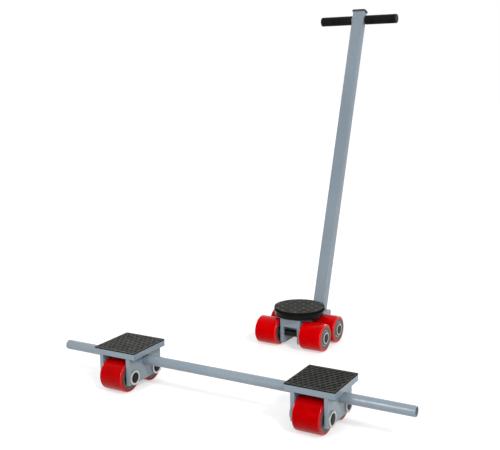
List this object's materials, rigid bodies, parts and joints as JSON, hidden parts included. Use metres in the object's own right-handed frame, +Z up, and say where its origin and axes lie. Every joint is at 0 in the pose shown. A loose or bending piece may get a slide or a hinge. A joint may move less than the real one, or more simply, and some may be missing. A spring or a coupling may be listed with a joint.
{
  "type": "machine skate",
  "caption": "Machine skate set: steerable roller skate with a swivel load pad and drawbar, and rear roller skates that slide along a spacer bar to suit the load.",
  "frame": {"origin": "on the floor under the middle of the whole set's outline", "axes": "+X along the spacer bar, +Y the rolling direction towards the drawbar, +Z up"},
  "size_m": [0.98, 1.0612, 0.9947],
  "materials": {
    "paint": "semi-gloss blue-grey paint",
    "black_paint": "satin black paint",
    "tread": "glossy red polyurethane",
    "hub": "turned cast iron, dark",
    "bearing": "ground bearing steel",
    "zinc": "bright zinc plate",
    "axle": "blackened steel",
    "pad": "moulded black rubber",
    "grip": "soft black rubber",
    "cap": "dark moulded plastic",
    "bush": "sintered bronze"
  },
  "bodies": {
    "spacer_bar": {"spacer_bar": "paint"},
    "left_skate": {"left_load_plate": "paint", "left_pad": "pad", "left_side_plates": "paint", "left_bar_sleeve": "paint", "left_lock_screw": "axle", "left_axles": "axle", "left_axle_washers": "zinc", "left_circlips": "axle", "left_inner_rings": "bearing"},
    "left_front_wheel": {"left_front_wheel_tyre": "tread", "left_front_wheel_hub": "hub", "left_front_wheel_bearings": "bearing"},
    "left_rear_wheel": {"left_rear_wheel_tyre": "tread", "left_rear_wheel_hub": "hub", "left_rear_wheel_bearings": "bearing"},
    "right_skate": {"right_load_plate": "paint", "right_pad": "pad", "right_side_plates": "paint", "right_bar_sleeve": "paint", "right_lock_screw": "axle", "right_axles": "axle", "right_axle_washers": "zinc", "right_circlips": "axle", "right_inner_rings": "bearing"},
    "right_front_wheel": {"right_front_wheel_tyre": "tread", "right_front_wheel_hub": "hub", "right_front_wheel_bearings": "bearing"},
    "right_rear_wheel": {"right_rear_wheel_tyre": "tread", "right_rear_wheel_hub": "hub", "right_rear_wheel_bearings": "bearing"},
    "steer_frame": {"steer_side_plates": "paint", "steer_bridge": "paint", "steer_axles": "axle", "steer_axle_washers": "zinc", "steer_circlips": "axle", "steer_inner_rings": "bearing", "king_pin": "axle", "thrust_lower_race": "bearing", "pivot_bolt": "zinc"},
    "steer_front_left_wheel": {"steer_front_left_wheel_tyre": "tread", "steer_front_left_wheel_hub": "hub", "steer_front_left_wheel_bearings": "bearing"},
    "steer_front_right_wheel": {"steer_front_right_wheel_tyre": "tread", "steer_front_right_wheel_hub": "hub", "steer_front_right_wheel_bearings": "bearing"},
    "steer_rear_left_wheel": {"steer_rear_left_wheel_tyre": "tread", "steer_rear_left_wheel_hub": "hub", "steer_rear_left_wheel_bearings": "bearing"},
    "steer_rear_right_wheel": {"steer_rear_right_wheel_tyre": "tread", "steer_rear_right_wheel_hub": "hub", "steer_rear_right_wheel_bearings": "bearing"},
    "swivel": {"swivel_disc": "black_paint", "swivel_pad": "pad", "thrust_upper_race": "bearing"},
    "drawbar": {"drawbar_tube": "paint", "drawbar_cap": "cap", "t_bar": "paint", "grips": "grip", "pivot_bush": "bush"}
  },
  "joints": [
    {"name": "left_skate_slide", "type": "slide", "parent": "spacer_bar", "child": "left_skate", "axis": [1, 0, 0], "range_m": [-0.14, 0.19]},
    {"name": "left_front_wheel_spin", "type": "hinge", "parent": "left_skate", "child": "left_front_wheel", "pos_m": [-0.2795, -0.39762, 0.04], "axis": [-1, 0, 0], "continuous": true},
    {"name": "left_rear_wheel_spin", "type": "hinge", "parent": "left_skate", "child": "left_rear_wheel", "pos_m": [-0.2795, -0.49062, 0.04], "axis": [-1, 0, 0], "continuous": true},
    {"name": "right_skate_slide", "type": "slide", "parent": "spacer_bar", "child": "right_skate", "axis": [1, 0, 0], "range_m": [-0.19, 0.14]},
    {"name": "right_front_wheel_spin", "type": "hinge", "parent": "right_skate", "child": "right_front_wheel", "pos_m": [0.266, -0.39762, 0.04], "axis": [-1, 0, 0], "continuous": true},
    {"name": "right_rear_wheel_spin", "type": "hinge", "parent": "right_skate", "child": "right_rear_wheel", "pos_m": [0.266, -0.49062, 0.04], "axis": [-1, 0, 0], "continuous": true},
    {"name": "steer_skate_place", "type": "slide", "parent": "spacer_bar", "child": "steer_frame", "axis": [0, 1, 0], "range_m": [-0.3, 0.6]},
    {"name": "steer_front_left_wheel_spin", "type": "hinge", "parent": "steer_frame", "child": "steer_front_left_wheel", "pos_m": [-0.112, 0.10788, 0.04], "axis": [-1, 0, 0], "continuous": true},
    {"name": "steer_front_right_wheel_spin", "type": "hinge", "parent": "steer_frame", "child": "steer_front_right_wheel", "pos_m": [0.032, 0.10788, 0.04], "axis": [-1, 0, 0], "continuous": true},
    {"name": "steer_rear_left_wheel_spin", "type": "hinge", "parent": "steer_frame", "child": "steer_rear_left_wheel", "pos_m": [-0.112, 0.01488, 0.04], "axis": [-1, 0, 0], "continuous": true},
    {"name": "steer_rear_right_wheel_spin", "type": "hinge", "parent": "steer_frame", "child": "steer_rear_right_wheel", "pos_m": [0.032, 0.01488, 0.04], "axis": [-1, 0, 0], "continuous": true},
    {"name": "swivel_turn", "type": "hinge", "parent": "steer_frame", "child": "swivel", "pos_m": [-0.04, 0.06138, 0.0875], "axis": [0, 0, 1], "continuous": true},
    {"name": "drawbar_tilt", "type": "hinge", "parent": "steer_frame", "child": "drawbar", "pos_m": [-0.04, 0.19298, 0.0375], "axis": [-1, 0, 0], "range_deg": [-18.75, 71.25]}
  ]
}
